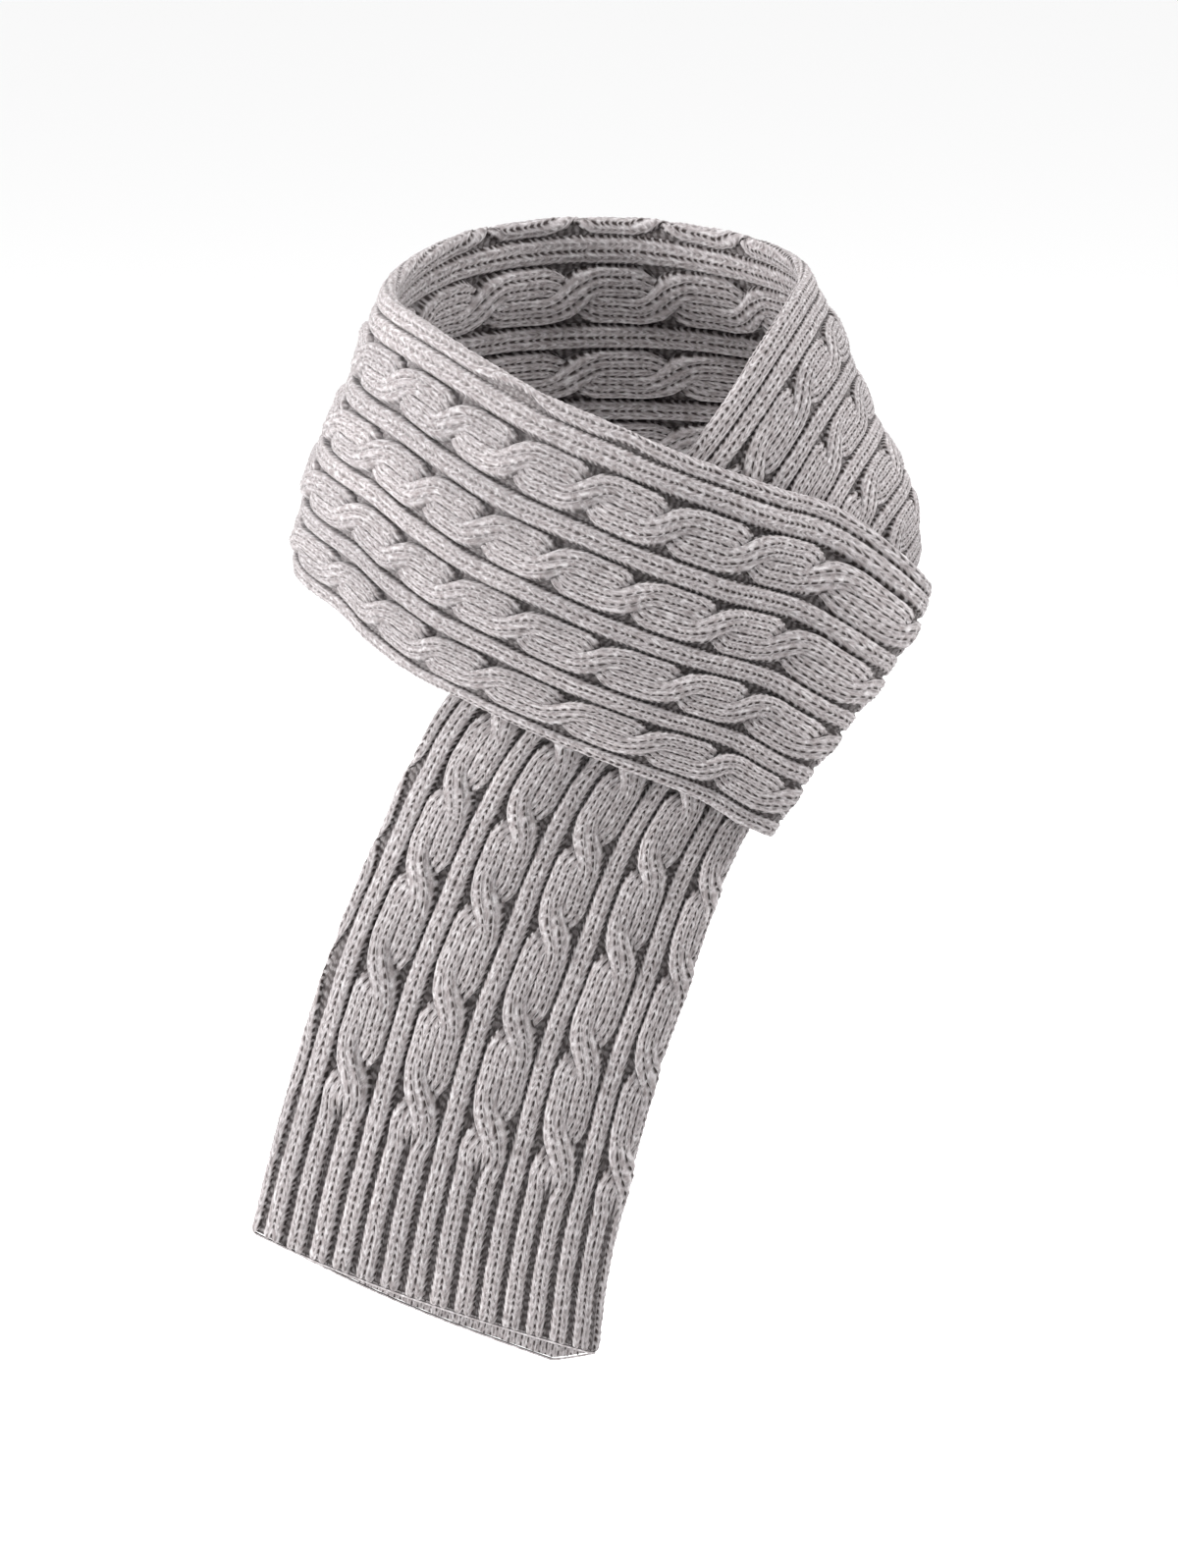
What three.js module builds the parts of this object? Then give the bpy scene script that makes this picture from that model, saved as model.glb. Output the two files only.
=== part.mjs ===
// A cable-knit scarf as it is worn, with no wearer: a flat tube that goes round the back of the neck,
// crosses itself below the throat, hangs down in front at one end and is turned back at the other.
// Millimetres, +Z up, the front faces -Y. The origin is the middle of the neck opening.
import * as THREE from 'three';

// The cloth
const REPEATS = 10; // ribs and cables round the tube, about five on each face
const LAYER_PITCH = 11.2; // from one stretch to the next where they lie on each other
const HALF_CLOTH = 2.2; // half the thickness of the pressed tube, between the ribs
const EDGE_INSET = 2; // relief stands this far out of the folded edges
const RIB_RELIEF = 1.9;
const HEM_RIB_RELIEF = 1.7;
const CABLE_RELIEF = 2.3;
const OVER_STRAND_RELIEF = 3.1;
const UNDER_STRAND_RELIEF = 1.1;
const SEAM_GAP = 0.3;

// A cable's shape. Lengths along it are in cables
const CABLE_HALF_WIDTH = 0.335; // in repeats
const RIB_HALF_WIDTH = 0.144;
const STRAND_REACH = 0.85; // a strand's half width, in half cable widths
const STRAND_ROUNDNESS = 2.5;
const STRAND_OFFSET = 0.5; // from the cable's middle, in half cable widths
const CROSSING_REACH = 0.28; // over which the strands change sides
const OVER_REACH = 0.2;
const HEM_RIBS_IN_REPEAT = 3;

// Relief is pressed flatter by these shares at the folded edges, round the tight turn and on the right fall
const EDGE_PRESS = { share: 0.7, reach: 0.3 };
const TURN_PRESS = { share: 0.62, reach: 0.4 };
const FALL_PRESS = { cable: 10.3, share: 0.48, reach: 2 };

// The tube's mouth at the tail's hem
const MOUTH_REACH = 1.6; // cables above the hem over which the two walls part
const MOUTH_HALF_CLOTH = 3.6;
const POCKET_HALF_GAP = 0.5; // half the space inside the pressed tube
const MOUTH_HALF_GAP = 1.9;
const BACK_WALL_DROP = 11; // the back wall hangs up to this much lower at the hem, most near the outer edge
const DROP_STEEPNESS = 3; // how soon the drop ends towards the folded edges
const POCKET_EDGE_POWER = 12; // how near the folded edges the wall keeps its thickness

// The general figure that the scarf lies on, as ovals by height
const FORM = [
  { z: -560, centre: 8, halfWidth: 300, front: 112, back: 120 },
  { z: -300, centre: 8, halfWidth: 205, front: 114, back: 120 },
  { z: -210, centre: 9, halfWidth: 165, front: 111, back: 117 },
  { z: -150, centre: 10.5, halfWidth: 147, front: 106, back: 112 },
  { z: -100, centre: 10, halfWidth: 134.5, front: 99, back: 105 },
  { z: -50, centre: 8, halfWidth: 115.5, front: 89, back: 96 },
  { z: 0, centre: 4.5, halfWidth: 95, front: 77, back: 87 },
  { z: 30, centre: 3, halfWidth: 84, front: 69, back: 80 },
];

// Lines across the scarf, from the rim edge a to the outer edge b. Angles run from the front by the
// right side (90) and the back (180) to the left side (270), and heights are in millimetres. cable
// counts the cable crossings along the scarf, layer 1 lies outside layer 0, and bow turns the line's
// middle back by so many degrees.
const LINES = [
  { at: 'tail hem', cable: -0.85, aAngle: -41, aZ: -444, bAngle: -1, bZ: -498, layer: 0, bow: 0 },
  { at: 'tail rib', cable: 0.1, aAngle: -40.8, aZ: -400, bAngle: 0.2, bZ: -456, layer: 0, bow: 0 },
  { at: 'tail', cable: 1, aAngle: -40, aZ: -353, bAngle: 2.7, bZ: -410, layer: 0, bow: 0 },
  { at: 'tail', cable: 2, aAngle: -39, aZ: -306, bAngle: 5.8, bZ: -364, layer: 0, bow: 0 },
  { at: 'tail', cable: 3, aAngle: -36.9, aZ: -259, bAngle: 10.5, bZ: -318, layer: 0, bow: 0 },
  { at: 'tail', cable: 4, aAngle: -34.3, aZ: -219.5, bAngle: 15.2, bZ: -278.5, layer: 0, bow: 0 },
  { at: 'tail top', cable: 5, aAngle: -28.5, aZ: -183, bAngle: 22, bZ: -243, layer: 0, bow: 0 },
  { at: 'beneath', cable: 6, aAngle: -14, aZ: -146, bAngle: 30, bZ: -218, layer: 0, bow: 0 },
  { at: 'beneath', cable: 7, aAngle: 6, aZ: -98, bAngle: 40, bZ: -193, layer: 0, bow: 0 },
  { at: 'throat', cable: 8, aAngle: 22, aZ: -60, bAngle: 53.5, bZ: -169.5, layer: 0, bow: 0 },
  { at: 'right fall', cable: 9, aAngle: 42, aZ: -26, bAngle: 68.5, bZ: -146, layer: 0, bow: 0 },
  { at: 'right fall', cable: 10, aAngle: 64, aZ: -6, bAngle: 89, bZ: -135, layer: 0, bow: 0 },
  { at: 'right side', cable: 11, aAngle: 86, aZ: 1.7, bAngle: 108, bZ: -137, layer: 0, bow: 0 },
  { at: 'right back', cable: 12, aAngle: 108.5, aZ: 7.2, bAngle: 127, bZ: -140, layer: 0, bow: 0 },
  { at: 'back', cable: 13, aAngle: 132.4, aZ: 12.4, bAngle: 146, bZ: -142, layer: 0, bow: 0 },
  { at: 'back', cable: 14, aAngle: 161.6, aZ: 17.4, bAngle: 167, bZ: -141, layer: 0, bow: 0 },
  { at: 'back', cable: 15, aAngle: 189, aZ: 18.5, bAngle: 189, bZ: -140, layer: 0, bow: 0 },
  { at: 'left back', cable: 16, aAngle: 219.3, aZ: 15.1, bAngle: 212, bZ: -140, layer: 0, bow: 0 },
  { at: 'left back', cable: 17, aAngle: 246, aZ: 7.2, bAngle: 234, bZ: -139, layer: 0, bow: 0 },
  { at: 'left side', cable: 18, aAngle: 268.5, aZ: -0.8, bAngle: 257, bZ: -138, layer: 0.25, bow: 0 },
  { at: 'left front', cable: 19, aAngle: 289.5, aZ: -7.5, bAngle: 280, bZ: -143, layer: 0.7, bow: 0 },
  { at: 'front band', cable: 20, aAngle: 310.8, aZ: -15.3, bAngle: 302, bZ: -151, layer: 1, bow: 0 },
  { at: 'front band', cable: 21, aAngle: 329, aZ: -29.3, bAngle: 314, bZ: -165, layer: 1, bow: 0 },
  { at: 'front band', cable: 22, aAngle: 344.9, aZ: -44.5, bAngle: 325, bZ: -178, layer: 1, bow: 0 },
  { at: 'front band', cable: 23, aAngle: 360.6, aZ: -59, bAngle: 336, bZ: -189, layer: 1, bow: 0 },
  { at: 'front band', cable: 24, aAngle: 375.5, aZ: -74, bAngle: 349, bZ: -204, layer: 1, bow: 0 },
  { at: 'front band', cable: 25, aAngle: 391.7, aZ: -89, bAngle: 361.8, bZ: -219, layer: 1, bow: 1 },
  { at: 'front band', cable: 26, aAngle: 408.2, aZ: -104, bAngle: 372.6, bZ: -233, layer: 1, bow: 4 },
];

// The tight turn round the lower stretch: its outermost line, and the way the ribs run there per mm
const TURN = { cable: 27.3, aAngle: 434.5, aZ: -146, bAngle: 382.8, bZ: -253, bow: 7, steps: 6, reach: 0.4 };
const TURN_RUN = { aAngle: 0.42, aZ: -0.54, bAngle: 0.27, bZ: -0.46 };

const END_LINES = [
  { at: 'turned end', cable: 28.5, aAngle: 418, aZ: -134, bAngle: 370, bZ: -241, layer: -1, bow: 6 },
  { at: 'turned end', cable: 29.2, aAngle: 404, aZ: -124, bAngle: 360, bZ: -233, layer: -1, bow: 4 },
  { at: 'turned end', cable: 30, aAngle: 390, aZ: -115, bAngle: 350, bZ: -225, layer: -1, bow: 3 },
  { at: 'end hem', cable: 30.6, aAngle: 380, aZ: -109, bAngle: 342.5, bZ: -219, layer: -1, bow: 2 },
];

// How the pattern lies round the tube, in repeats: a is at the rim edge, b at the outer edge, and a
// positive lean puts the middle of a face nearer to the outer edge
const PATTERN = [
  { cable: -0.85, a: 0.13, b: 5.15, frontLean: 0.21, backLean: 0.1 },
  { cable: 5, a: 0.13, b: 5.15, frontLean: 0.21, backLean: 0.1 },
  { cable: 9, a: 0, b: 4.9, frontLean: 0.1, backLean: 0.1 },
  { cable: 11, a: 0, b: 4.9, frontLean: 0.1, backLean: 0.1 },
  { cable: 12, a: -0.1, b: 5.1, frontLean: 0.1, backLean: 0.3 },
  { cable: 14, a: -0.17, b: 5.23, frontLean: 0.1, backLean: 0.38 },
  { cable: 16, a: -0.17, b: 5.23, frontLean: 0.1, backLean: 0.38 },
  { cable: 19, a: 0.1, b: 4.7, frontLean: 0.2, backLean: 0.2 },
  { cable: 20.5, a: 0.13, b: 4.61, frontLean: 0.21, backLean: 0.1 },
  { cable: 25.5, a: 0.13, b: 4.61, frontLean: 0.21, backLean: 0.1 },
  { cable: 27, a: 0.13, b: 4.67, frontLean: -0.03, backLean: 0.1 },
  { cable: 30.6, a: 0.13, b: 4.67, frontLean: -0.03, backLean: 0.1 },
];

const TAIL_RIB_TOP = 0.62; // the hems' 2 x 2 rib ends at these cable counts
const END_RIB_START = 29.4;

// The stretches that show, by cable count, with the phases of a cable at which its form is drawn
const CABLE_PHASES = [-0.13, 0.13, 0.5];
const HIDDEN_PHASES = [0, 0.5];
const STRETCHES = [
  { name: 'tail', from: -0.85, to: 5, phases: CABLE_PHASES, open: true },
  { name: 'under_stretch', from: 5, to: 8, phases: HIDDEN_PHASES },
  { name: 'right_fall', from: 8, to: 12, phases: CABLE_PHASES },
  { name: 'back_of_neck', from: 12, to: 17, phases: CABLE_PHASES },
  { name: 'front_band', from: 17, to: 26.6, phases: CABLE_PHASES },
  { name: 'turned_end', from: 26.6, to: 30.6, phases: CABLE_PHASES },
];

// Points round the tube in one repeat, from the middle of a cable past the rib to the next cable
const REPEAT_POINTS = [0, 0.17, 0.345, 0.5, 0.655, 0.83];
const OUTER_POINTS = REPEATS * REPEAT_POINTS.length;
const OUTER_PER_POCKET = 3; // outer points to each one of the space inside
const POCKET_POINTS = OUTER_POINTS / OUTER_PER_POCKET;

const DIRECTION_STEP = 0.02; // over which directions are measured, in cables and in widths
const CLOSEST_RINGS = 0.1; // in cables

// A smooth curve through the rows of a table, by the column named key
function rowAt(rows, key, columns, value) {
  let i = 0;
  while (i < rows.length - 2 && rows[i + 1][key] <= value) {
    i += 1;
  }
  const span = (j) => rows[j + 1][key] - rows[j][key];
  const slope = (j, column) => (rows[j + 1][column] - rows[j][column]) / span(j);
  const tangent = (j, column) => {
    if (j === 0) {
      return slope(0, column);
    }
    if (j === rows.length - 1) {
      return slope(j - 1, column);
    }
    const before = span(j - 1);
    const after = span(j);
    return (slope(j - 1, column) * after + slope(j, column) * before) / (before + after);
  };
  const h = span(i);
  const f = (value - rows[i][key]) / h;
  const found = {};
  for (const column of columns) {
    found[column] = rows[i][column] * (1 + 2 * f) * (1 - f) ** 2
      + tangent(i, column) * h * f * (1 - f) ** 2
      + rows[i + 1][column] * f * f * (3 - 2 * f)
      + tangent(i + 1, column) * h * f * f * (f - 1);
  }
  return found;
}

// The turn's lines: half a circle round the edge of the stretch beneath, from layer 1 to layer -1
function turnLines() {
  const lines = [];
  for (let i = 0; i <= TURN.steps; i += 1) {
    const angle = Math.PI * i / TURN.steps;
    const back = LAYER_PITCH * (1 - Math.sin(angle));
    lines.push({
      at: 'turn',
      cable: TURN.cable + TURN.reach * (2 * i / TURN.steps - 1),
      aAngle: TURN.aAngle - back * TURN_RUN.aAngle,
      aZ: TURN.aZ - back * TURN_RUN.aZ,
      bAngle: TURN.bAngle - back * TURN_RUN.bAngle,
      bZ: TURN.bZ - back * TURN_RUN.bZ,
      layer: Math.cos(angle),
      bow: TURN.bow,
    });
  }
  return lines;
}

const ALL_LINES = [...LINES, ...turnLines(), ...END_LINES];

// A point of the form, moved out by a number of layers
function formPoint(angleDegrees, z, layer) {
  const oval = rowAt(FORM, 'z', ['centre', 'halfWidth', 'front', 'back'], z);
  const angle = THREE.MathUtils.degToRad(angleDegrees);
  const depth = Math.cos(angle) > 0 ? oval.front : oval.back;
  const out = new THREE.Vector2(Math.sin(angle) / oval.halfWidth, -Math.cos(angle) / depth).normalize();
  return new THREE.Vector3(
    oval.centre + oval.halfWidth * Math.sin(angle) + out.x * LAYER_PITCH * layer,
    -depth * Math.cos(angle) + out.y * LAYER_PITCH * layer,
    z,
  );
}

// The middle of the cloth, where across runs from 0 at the rim edge to 1 at the outer edge
function middle(cable, across) {
  const line = rowAt(ALL_LINES, 'cable', ['aAngle', 'aZ', 'bAngle', 'bZ', 'layer', 'bow'], cable);
  return formPoint(
    THREE.MathUtils.lerp(line.aAngle, line.bAngle, across) - line.bow * 4 * across * (1 - across),
    THREE.MathUtils.lerp(line.aZ, line.bZ, across),
    line.layer,
  );
}

// The middle of the cloth with its directions: along the ribs, across them and out of the front face
function frameAt(cable, across) {
  const point = middle(cable, across);
  const along = middle(cable + DIRECTION_STEP, across).sub(middle(cable - DIRECTION_STEP, across));
  const sideways = middle(cable, across + DIRECTION_STEP).sub(middle(cable, across - DIRECTION_STEP));
  along.normalize();
  sideways.normalize();
  const out = new THREE.Vector3().crossVectors(sideways, along).normalize();
  return { point, along, sideways, out };
}

// How far a strand of a cable stands out, at a distance from its middle in half cable widths
function strand(distance, height) {
  return height * Math.max(0, 1 - Math.abs(distance / STRAND_REACH) ** STRAND_ROUNDNESS);
}

// Two strands change sides at each crossing, and the one that comes from the right passes over
function cableRelief(offset, cable) {
  const phase = cable - Math.round(cable);
  const swing = STRAND_OFFSET * Math.sin(THREE.MathUtils.clamp(phase / CROSSING_REACH, -1, 1) * Math.PI / 2);
  const near = Math.exp(-((phase / OVER_REACH) ** 2));
  const over = strand(offset + swing, THREE.MathUtils.lerp(CABLE_RELIEF, OVER_STRAND_RELIEF, near));
  const under = strand(offset - swing, THREE.MathUtils.lerp(CABLE_RELIEF, UNDER_STRAND_RELIEF, near));
  return Math.max(over, under);
}

// Relief of the outer points: around counts repeats, with a cable's middle at each whole number
function relief(around, cable) {
  const place = around - Math.floor(around);
  if (cable < TAIL_RIB_TOP || cable > END_RIB_START) {
    return HEM_RIB_RELIEF * (1 - Math.cos(2 * Math.PI * HEM_RIBS_IN_REPEAT * place)) / 2;
  }
  if (Math.abs(place - 0.5) < RIB_HALF_WIDTH) {
    return RIB_RELIEF;
  }
  const offset = (place < 0.5 ? place : place - 1) / CABLE_HALF_WIDTH;
  return Math.abs(offset) < 1 ? cableRelief(offset, cable) : 0;
}

// Where a place round the tube lies: the face, the share of the way from the rim edge to the outer
// edge, and the distance from the nearer edge in repeats
function onFace(cable, around) {
  const pattern = rowAt(PATTERN, 'cable', ['a', 'b', 'frontLean', 'backLean'], cable);
  const from = THREE.MathUtils.euclideanModulo(around - pattern.a, REPEATS);
  const front = pattern.b - pattern.a;
  const isBack = from > front;
  const way = isBack ? (REPEATS - from) / (REPEATS - front) : from / front;
  const lean = isBack ? pattern.backLean : pattern.frontLean;
  return {
    isBack,
    share: way + lean * way * (1 - way),
    fromEdge: Math.min(from, REPEATS - from, Math.abs(from - front)),
  };
}

// How much of the relief is left where the cloth is pressed
function pressed(cable, fromEdge) {
  const edge = 1 - EDGE_PRESS.share * Math.exp(-((fromEdge / EDGE_PRESS.reach) ** 2));
  const turn = 1 - TURN_PRESS.share * Math.exp(-(((cable - TURN.cable) / TURN_PRESS.reach) ** 2));
  const fall = 1 - FALL_PRESS.share * Math.exp(-(((cable - FALL_PRESS.cable) / FALL_PRESS.reach) ** 2));
  return edge * turn * fall;
}

// A point of the flat tube's section, on the face and at the share given by place. half is half the
// section's thickness
function sectionPoint(cable, place, half, raised) {
  const width = middle(cable, 0).distanceTo(middle(cable, 1));
  const bend = half * Math.PI / 2;
  const flat = width - 2 * EDGE_INSET - 2 * half;
  const arc = place.share * (flat + 2 * bend);
  const fromEdge = Math.min(arc, flat + 2 * bend - arc);
  const turn = Math.min(fromEdge / half, Math.PI / 2);
  const beyond = Math.max(0, fromEdge - bend);
  const inward = EDGE_INSET + half * (1 - Math.cos(turn)) + beyond - raised * Math.cos(turn);
  const nearA = arc < (flat + 2 * bend) / 2;
  const across = (nearA ? inward : width - inward) / width;
  const depth = (place.isBack ? -1 : 1) * Math.sin(turn) * (half + raised);
  const frame = frameAt(cable, across);
  return frame.point.addScaledVector(frame.out, depth);
}

// How far the walls part at the mouth of the tail, from 0 to 1
function mouth(cable) {
  const down = (LINES[0].cable + MOUTH_REACH - cable) / MOUTH_REACH;
  return THREE.MathUtils.clamp(down, 0, 1) ** 2;
}

// One ring of points round the tube, or round the space inside it
function ring(cable, inside, openMouth) {
  const open = openMouth ? mouth(cable) : 0;
  const half = inside
    ? THREE.MathUtils.lerp(POCKET_HALF_GAP, MOUTH_HALF_GAP, open)
    : THREE.MathUtils.lerp(HALF_CLOTH, MOUTH_HALF_CLOTH, open);
  const wall = HALF_CLOTH - POCKET_HALF_GAP;
  const counts = [];
  if (inside) {
    for (let i = 0; i < POCKET_POINTS; i += 1) {
      counts.push(REPEATS * i / POCKET_POINTS);
    }
  } else {
    for (let repeat = 0; repeat < REPEATS; repeat += 1) {
      for (const point of REPEAT_POINTS) {
        counts.push(repeat + point);
      }
    }
  }
  return counts.map((around) => {
    const place = onFace(cable, around);
    const atEdge = Math.abs(Math.cos(Math.PI * place.share)) ** POCKET_EDGE_POWER;
    const raised = inside ? -wall * atEdge : relief(around, cable) * pressed(cable, place.fromEdge);
    const point = sectionPoint(cable, place, half, raised);
    const fromFolds = Math.min(1, DROP_STEEPNESS * Math.sin(Math.PI * place.share));
    const drop = place.isBack ? open * BACK_WALL_DROP * place.share * fromFolds : 0;
    return point.addScaledVector(frameAt(cable, 0.5).along, -drop);
  });
}

// The cable counts at which a stretch has rings
function ringPlaces(stretch) {
  const first = stretch.from === LINES[0].cable ? stretch.from : stretch.from + gapInCables(stretch.from);
  const isLast = stretch.to === END_LINES[END_LINES.length - 1].cable;
  const last = isLast ? stretch.to : stretch.to - gapInCables(stretch.to);
  const places = [];
  for (let whole = Math.floor(stretch.from) - 1; whole <= stretch.to + 1; whole += 1) {
    for (const phase of stretch.phases) {
      const inTurn = Math.abs(whole + phase - TURN.cable) < TURN.reach;
      if (!inTurn) {
        places.push(whole + phase);
      }
    }
  }
  for (let i = 0; i <= TURN.steps; i += 1) {
    places.push(TURN.cable + TURN.reach * (2 * i / TURN.steps - 1));
  }
  const between = places.filter((place) => place > first + CLOSEST_RINGS && place < last - CLOSEST_RINGS);
  return [first, ...between.sort((p, q) => p - q), last];
}

// Half a seam's gap, as a share of a cable
function gapInCables(cable) {
  const length = middle(cable + DIRECTION_STEP, 0.5).distanceTo(middle(cable - DIRECTION_STEP, 0.5));
  return SEAM_GAP / 2 * 2 * DIRECTION_STEP / length;
}

// A closed body through a stretch's rings. An open one has the space inside, with walls between
function stretchGeometry(stretch) {
  const positions = [];
  const triangles = [];
  const places = ringPlaces(stretch);
  const add = (points) => {
    const start = positions.length / 3;
    for (const point of points) {
      positions.push(point.x, point.y, point.z);
    }
    return start;
  };
  const skin = (starts, count, flip) => {
    for (let row = 0; row + 1 < starts.length; row += 1) {
      for (let i = 0; i < count; i += 1) {
        const next = (i + 1) % count;
        const [a, b] = [starts[row] + i, starts[row] + next];
        const [c, d] = [starts[row + 1] + i, starts[row + 1] + next];
        triangles.push(...(flip ? [a, c, b, b, c, d] : [a, b, c, b, d, c]));
      }
    }
  };
  const outer = places.map((place) => add(ring(place, false, stretch.open)));
  skin(outer, OUTER_POINTS, false);
  if (stretch.open) {
    const inner = places.map((place) => add(ring(place, true, true)));
    skin(inner, POCKET_POINTS, true);
    for (const [row, flip] of [[0, false], [places.length - 1, true]]) {
      for (let i = 0; i < POCKET_POINTS; i += 1) {
        const within = inner[row] + i;
        const withinNext = inner[row] + (i + 1) % POCKET_POINTS;
        const wallEnd = [];
        for (let j = 0; j <= OUTER_PER_POCKET; j += 1) {
          wallEnd.push(outer[row] + (i * OUTER_PER_POCKET + j) % OUTER_POINTS);
        }
        const [first, second, third, fourth] = wallEnd;
        const fan = [
          [within, second, first],
          [within, third, second],
          [within, withinNext, third],
          [withinNext, fourth, third],
        ];
        for (const [a, b, c] of fan) {
          triangles.push(...(flip ? [a, c, b] : [a, b, c]));
        }
      }
    }
  } else {
    for (const [row, flip] of [[0, true], [places.length - 1, false]]) {
      for (let i = 0; i < OUTER_POINTS / 2; i += 1) {
        const front = outer[row] + i;
        const frontNext = outer[row] + i + 1;
        const back = outer[row] + (OUTER_POINTS - i) % OUTER_POINTS;
        const backNext = outer[row] + (OUTER_POINTS - i - 1) % OUTER_POINTS;
        const faces = [];
        if (front !== back) {
          faces.push([front, frontNext, back]);
        }
        if (frontNext !== backNext) {
          faces.push([frontNext, backNext, back]);
        }
        for (const [a, b, c] of faces) {
          triangles.push(...(flip ? [a, c, b] : [a, b, c]));
        }
      }
    }
  }
  const geometry = new THREE.BufferGeometry();
  geometry.setAttribute('position', new THREE.Float32BufferAttribute(positions, 3));
  geometry.setIndex(triangles);
  geometry.computeVertexNormals();
  return geometry;
}

const scarf = new THREE.Group();
for (const stretch of STRETCHES) {
  const yarn = new THREE.MeshStandardMaterial({ color: 0x9b9592, roughness: 0.9, metalness: 0 });
  const mesh = new THREE.Mesh(stretchGeometry(stretch), yarn);
  mesh.name = stretch.name;
  scarf.add(mesh);
}

export default scarf;
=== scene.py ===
import bpy
import math
import numpy as np
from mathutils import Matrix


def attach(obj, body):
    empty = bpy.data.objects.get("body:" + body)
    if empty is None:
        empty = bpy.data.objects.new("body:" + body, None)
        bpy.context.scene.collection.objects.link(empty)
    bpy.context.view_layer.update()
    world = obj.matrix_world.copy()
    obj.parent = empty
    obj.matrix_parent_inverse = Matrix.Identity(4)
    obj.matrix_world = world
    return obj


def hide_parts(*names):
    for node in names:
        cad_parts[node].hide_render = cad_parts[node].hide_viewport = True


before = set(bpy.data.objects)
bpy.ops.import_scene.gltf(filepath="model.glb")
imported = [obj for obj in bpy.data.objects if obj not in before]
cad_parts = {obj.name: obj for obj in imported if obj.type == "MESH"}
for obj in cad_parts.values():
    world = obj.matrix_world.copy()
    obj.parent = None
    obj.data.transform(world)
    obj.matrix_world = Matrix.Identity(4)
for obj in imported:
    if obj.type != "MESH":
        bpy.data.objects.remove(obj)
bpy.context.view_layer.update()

# The looks of a cable-knit scarf as it is worn, with no wearer. Its stitches run in strips of wales, the
# knitting's columns, over a purl ground. Lengths are in millimetres, as in the part's source. The scarf's
# own directions are cable, which counts the cable crossings along it, and around, which counts the
# repeats of the pattern round the flat tube: whole numbers are cables, and halves are ribs.
MM = 0.001

# The cloth
REPEATS = 10  # ribs and cables round the tube, about five on each face
LAYER_PITCH = 11.2  # from one stretch to the next where they lie on each other
HALF_CLOTH = 2.2  # half the thickness of the pressed tube, between the ribs
EDGE_INSET = 2.0  # relief stands this far out of the folded edges
STITCH_ROWS = 12  # rows of stitches from one cable crossing to the next
LENGTH_SAMPLES = 60  # points that measure a stretch's length
DIRECTION_STEP = 0.02  # over which the cloth's directions are measured, in cables and in widths

# The tube's mouth at the tail's hem
MOUTH_REACH = 1.6  # cables above the hem over which the two walls part
MOUTH_HALF_CLOTH = 3.6
MOUTH_HALF_GAP = 1.9
POCKET_HALF_GAP = 0.6  # half the space inside the pressed tube
BACK_WALL_DROP = 11.0  # at most, near the outer edge
DROP_STEEPNESS = 3  # how soon the drop ends towards the folded edges
LIP_RAISED = 0.3
LIP_DEPTH = 1.1
LIP_STEPS = 6
LIP_WALE_PLACE = 0.25  # the lip is coloured as a wale halfway from its edge to its middle
LINING_RELIEF = 1.1

# The general figure that the scarf lies on, as ovals by height
FORM = np.array([
    # z, centre, half width, front, back
    [-560, 8, 300, 112, 120],
    [-300, 8, 205, 114, 120],
    [-210, 9, 165, 111, 117],
    [-150, 10.5, 147, 106, 112],
    [-100, 10, 134.5, 99, 105],
    [-50, 8, 115.5, 89, 96],
    [0, 4.5, 95, 77, 87],
    [30, 3, 84, 69, 80],
], dtype=float)

# Lines across the scarf: angles run from the front by the right side (90) and the back (180)
LINES = [
    # cable, a angle, a z, b angle, b z, layer, bow
    [-0.85, -41, -444, -1, -498, 0, 0],
    [0.1, -40.8, -400, 0.2, -456, 0, 0],
    [1, -40, -353, 2.7, -410, 0, 0],
    [2, -39, -306, 5.8, -364, 0, 0],
    [3, -36.9, -259, 10.5, -318, 0, 0],
    [4, -34.3, -219.5, 15.2, -278.5, 0, 0],
    [5, -28.5, -183, 22, -243, 0, 0],
    [6, -14, -146, 30, -218, 0, 0],
    [7, 6, -98, 40, -193, 0, 0],
    [8, 22, -60, 53.5, -169.5, 0, 0],
    [9, 42, -26, 68.5, -146, 0, 0],
    [10, 64, -6, 89, -135, 0, 0],
    [11, 86, 1.7, 108, -137, 0, 0],
    [12, 108.5, 7.2, 127, -140, 0, 0],
    [13, 132.4, 12.4, 146, -142, 0, 0],
    [14, 161.6, 17.4, 167, -141, 0, 0],
    [15, 189, 18.5, 189, -140, 0, 0],
    [16, 219.3, 15.1, 212, -140, 0, 0],
    [17, 246, 7.2, 234, -139, 0, 0],
    [18, 268.5, -0.8, 257, -138, 0.25, 0],
    [19, 289.5, -7.5, 280, -143, 0.7, 0],
    [20, 310.8, -15.3, 302, -151, 1, 0],
    [21, 329, -29.3, 314, -165, 1, 0],
    [22, 344.9, -44.5, 325, -178, 1, 0],
    [23, 360.6, -59, 336, -189, 1, 0],
    [24, 375.5, -74, 349, -204, 1, 0],
    [25, 391.7, -89, 361.8, -219, 1, 1],
    [26, 408.2, -104, 372.6, -233, 1, 4],
]
TURN_CABLE, TURN_REACH, TURN_STEPS = 27.3, 0.4, 6
TURN_LINE = [434.5, -146, 382.8, -253]
TURN_RUN = [0.42, -0.54, 0.27, -0.46]
TURN_BOW = 7
END_LINES = [
    [28.5, 418, -134, 370, -241, -1, 6],
    [29.2, 404, -124, 360, -233, -1, 4],
    [30, 390, -115, 350, -225, -1, 3],
    [30.6, 380, -109, 342.5, -219, -1, 2],
]

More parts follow.
